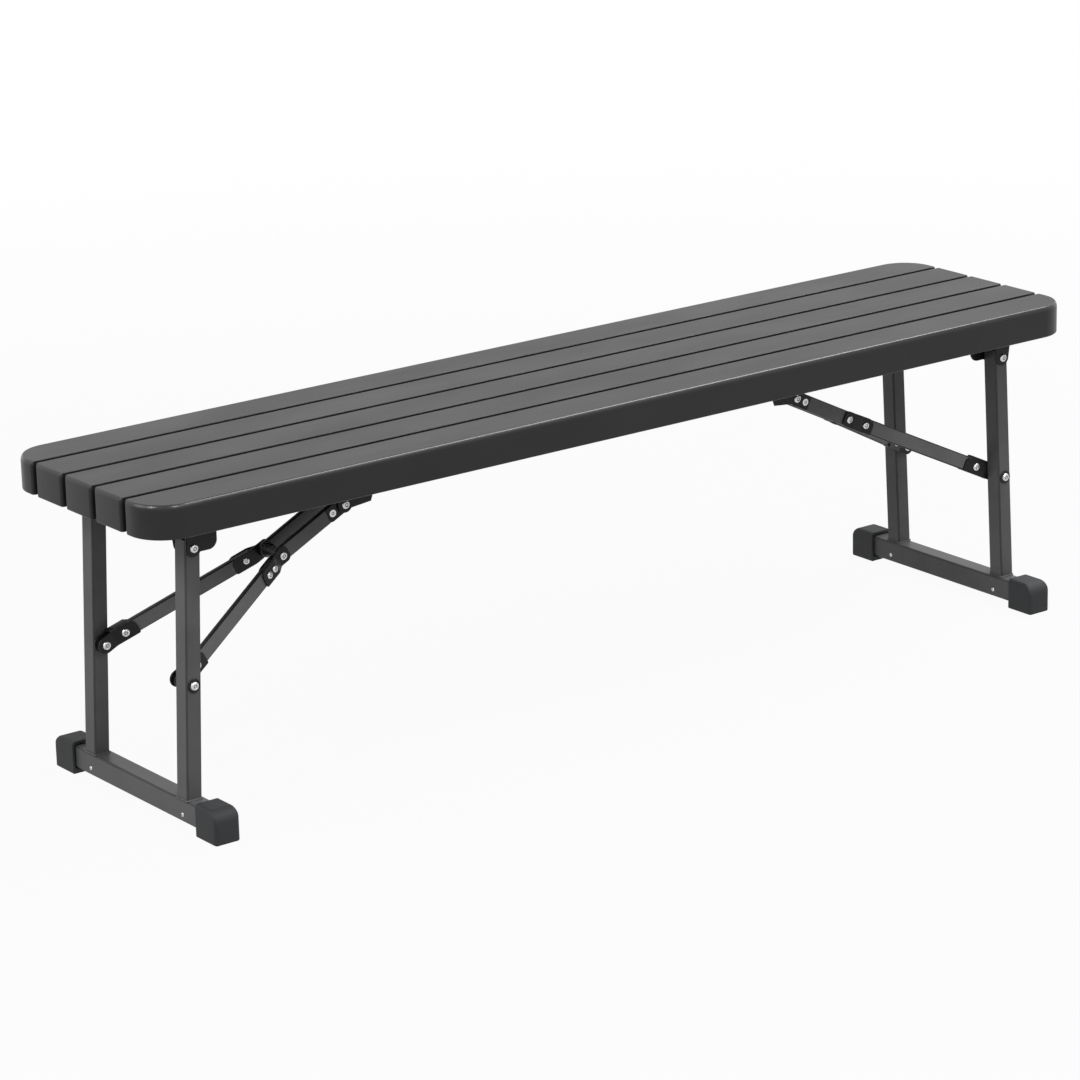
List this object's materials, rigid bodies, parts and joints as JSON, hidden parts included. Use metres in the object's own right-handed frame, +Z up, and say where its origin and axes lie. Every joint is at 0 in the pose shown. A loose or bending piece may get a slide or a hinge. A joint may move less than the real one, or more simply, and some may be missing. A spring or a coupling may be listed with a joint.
{
  "type": "folding bench",
  "caption": "Folding bench with a slatted plastic seat on steel leg frames that fold inwards under it, each held open by jointed braces.",
  "frame": {"origin": "on the floor, under the middle of the seat", "axes": "+X along the seat, +Y to the rear, +Z up; the picture looks from the left front"},
  "size_m": [1.52, 0.384, 0.44],
  "materials": {
    "seat_plastic": "satin",
    "rail_steel": "satin",
    "tube_steel": "satin",
    "plate_steel": "satin",
    "rivet_steel": "bright",
    "boot_rubber": "matte"
  },
  "bodies": {
    "seat": {"slat_1": "seat_plastic", "slat_2": "seat_plastic", "slat_3": "seat_plastic", "slat_4": "seat_plastic", "slat_5": "seat_plastic", "cross_rail_1": "rail_steel", "cross_rail_2": "rail_steel", "cross_rail_3": "rail_steel", "cross_rail_4": "rail_steel", "cross_rail_5": "rail_steel", "left_front_pivot_bracket": "plate_steel", "left_front_leg_pivot_rivet": "rivet_steel", "left_rear_pivot_bracket": "plate_steel", "left_rear_leg_pivot_rivet": "rivet_steel", "left_anchor_bracket": "plate_steel", "left_anchor_pin": "rivet_steel", "right_front_pivot_bracket": "plate_steel", "right_front_leg_pivot_rivet": "rivet_steel", "right_rear_pivot_bracket": "plate_steel", "right_rear_leg_pivot_rivet": "rivet_steel", "right_anchor_bracket": "plate_steel", "right_anchor_pin": "rivet_steel"},
    "leg_left": {"left_front_upright": "tube_steel", "left_front_boot": "boot_rubber", "left_front_brace_rivet": "rivet_steel", "left_rear_upright": "tube_steel", "left_rear_boot": "boot_rubber", "left_rear_brace_rivet": "rivet_steel", "left_foot_bar": "tube_steel"},
    "upper_brace_left": {"left_front_upper_link": "tube_steel", "left_rear_upper_link": "tube_steel", "left_knee_spacer": "plate_steel"},
    "lower_brace_left_front": {"left_front_lower_link": "tube_steel", "left_front_lower_fork": "plate_steel", "left_front_knee_plate": "plate_steel", "left_front_knee_rivet": "rivet_steel"},
    "lower_brace_left_rear": {"left_rear_lower_link": "tube_steel", "left_rear_lower_fork": "plate_steel", "left_rear_knee_plate": "plate_steel", "left_rear_knee_rivet": "rivet_steel"},
    "leg_right": {"right_front_upright": "tube_steel", "right_front_boot": "boot_rubber", "right_front_brace_rivet": "rivet_steel", "right_rear_upright": "tube_steel", "right_rear_boot": "boot_rubber", "right_rear_brace_rivet": "rivet_steel", "right_foot_bar": "tube_steel"},
    "upper_brace_right": {"right_front_upper_link": "tube_steel", "right_rear_upper_link": "tube_steel", "right_knee_spacer": "plate_steel"},
    "lower_brace_right_front": {"right_front_lower_link": "tube_steel", "right_front_lower_fork": "plate_steel", "right_front_knee_plate": "plate_steel", "right_front_knee_rivet": "rivet_steel"},
    "lower_brace_right_rear": {"right_rear_lower_link": "tube_steel", "right_rear_lower_fork": "plate_steel", "right_rear_knee_plate": "plate_steel", "right_rear_knee_rivet": "rivet_steel"}
  },
  "joints": [
    {"name": "leg_fold_left", "type": "hinge", "parent": "seat", "child": "leg_left", "pos_m": [-0.6735, 0, 0.364], "axis": [0, -1, 0], "range_deg": [0, 83.1]},
    {"name": "upper_brace_fold_left", "type": "hinge", "parent": "seat", "child": "upper_brace_left", "pos_m": [-0.38, 0, 0.338], "axis": [0, -1, 0], "range_deg": [0, 155.2]},
    {"name": "lower_brace_fold_left_front", "type": "hinge", "parent": "leg_left", "child": "lower_brace_left_front", "pos_m": [-0.68184, 0, 0.1872], "axis": [0, 1, 0], "range_deg": [0, 108]},
    {"name": "lower_brace_fold_left_rear", "type": "hinge", "parent": "leg_left", "child": "lower_brace_left_rear", "pos_m": [-0.68184, 0, 0.1872], "axis": [0, 1, 0], "range_deg": [0, 108]},
    {"name": "leg_fold_right", "type": "hinge", "parent": "seat", "child": "leg_right", "pos_m": [0.6735, 0, 0.364], "axis": [0, 1, 0], "range_deg": [0, 83.1]},
    {"name": "upper_brace_fold_right", "type": "hinge", "parent": "seat", "child": "upper_brace_right", "pos_m": [0.38, 0, 0.338], "axis": [0, 1, 0], "range_deg": [0, 155.2]},
    {"name": "lower_brace_fold_right_front", "type": "hinge", "parent": "leg_right", "child": "lower_brace_right_front", "pos_m": [0.68184, 0, 0.1872], "axis": [0, -1, 0], "range_deg": [0, 108]},
    {"name": "lower_brace_fold_right_rear", "type": "hinge", "parent": "leg_right", "child": "lower_brace_right_rear", "pos_m": [0.68184, 0, 0.1872], "axis": [0, -1, 0], "range_deg": [0, 108]}
  ],
  "couplings": [
    {"joint": "upper_brace_fold_left", "follows": "leg_fold_left", "ratio": 1.867},
    {"joint": "lower_brace_fold_left_front", "follows": "leg_fold_left", "ratio": 1.2991},
    {"joint": "lower_brace_fold_left_rear", "follows": "leg_fold_left", "ratio": 1.2991},
    {"joint": "upper_brace_fold_right", "follows": "leg_fold_right", "ratio": 1.867},
    {"joint": "lower_brace_fold_right_front", "follows": "leg_fold_right", "ratio": 1.2991},
    {"joint": "lower_brace_fold_right_rear", "follows": "leg_fold_right", "ratio": 1.2991}
  ]
}
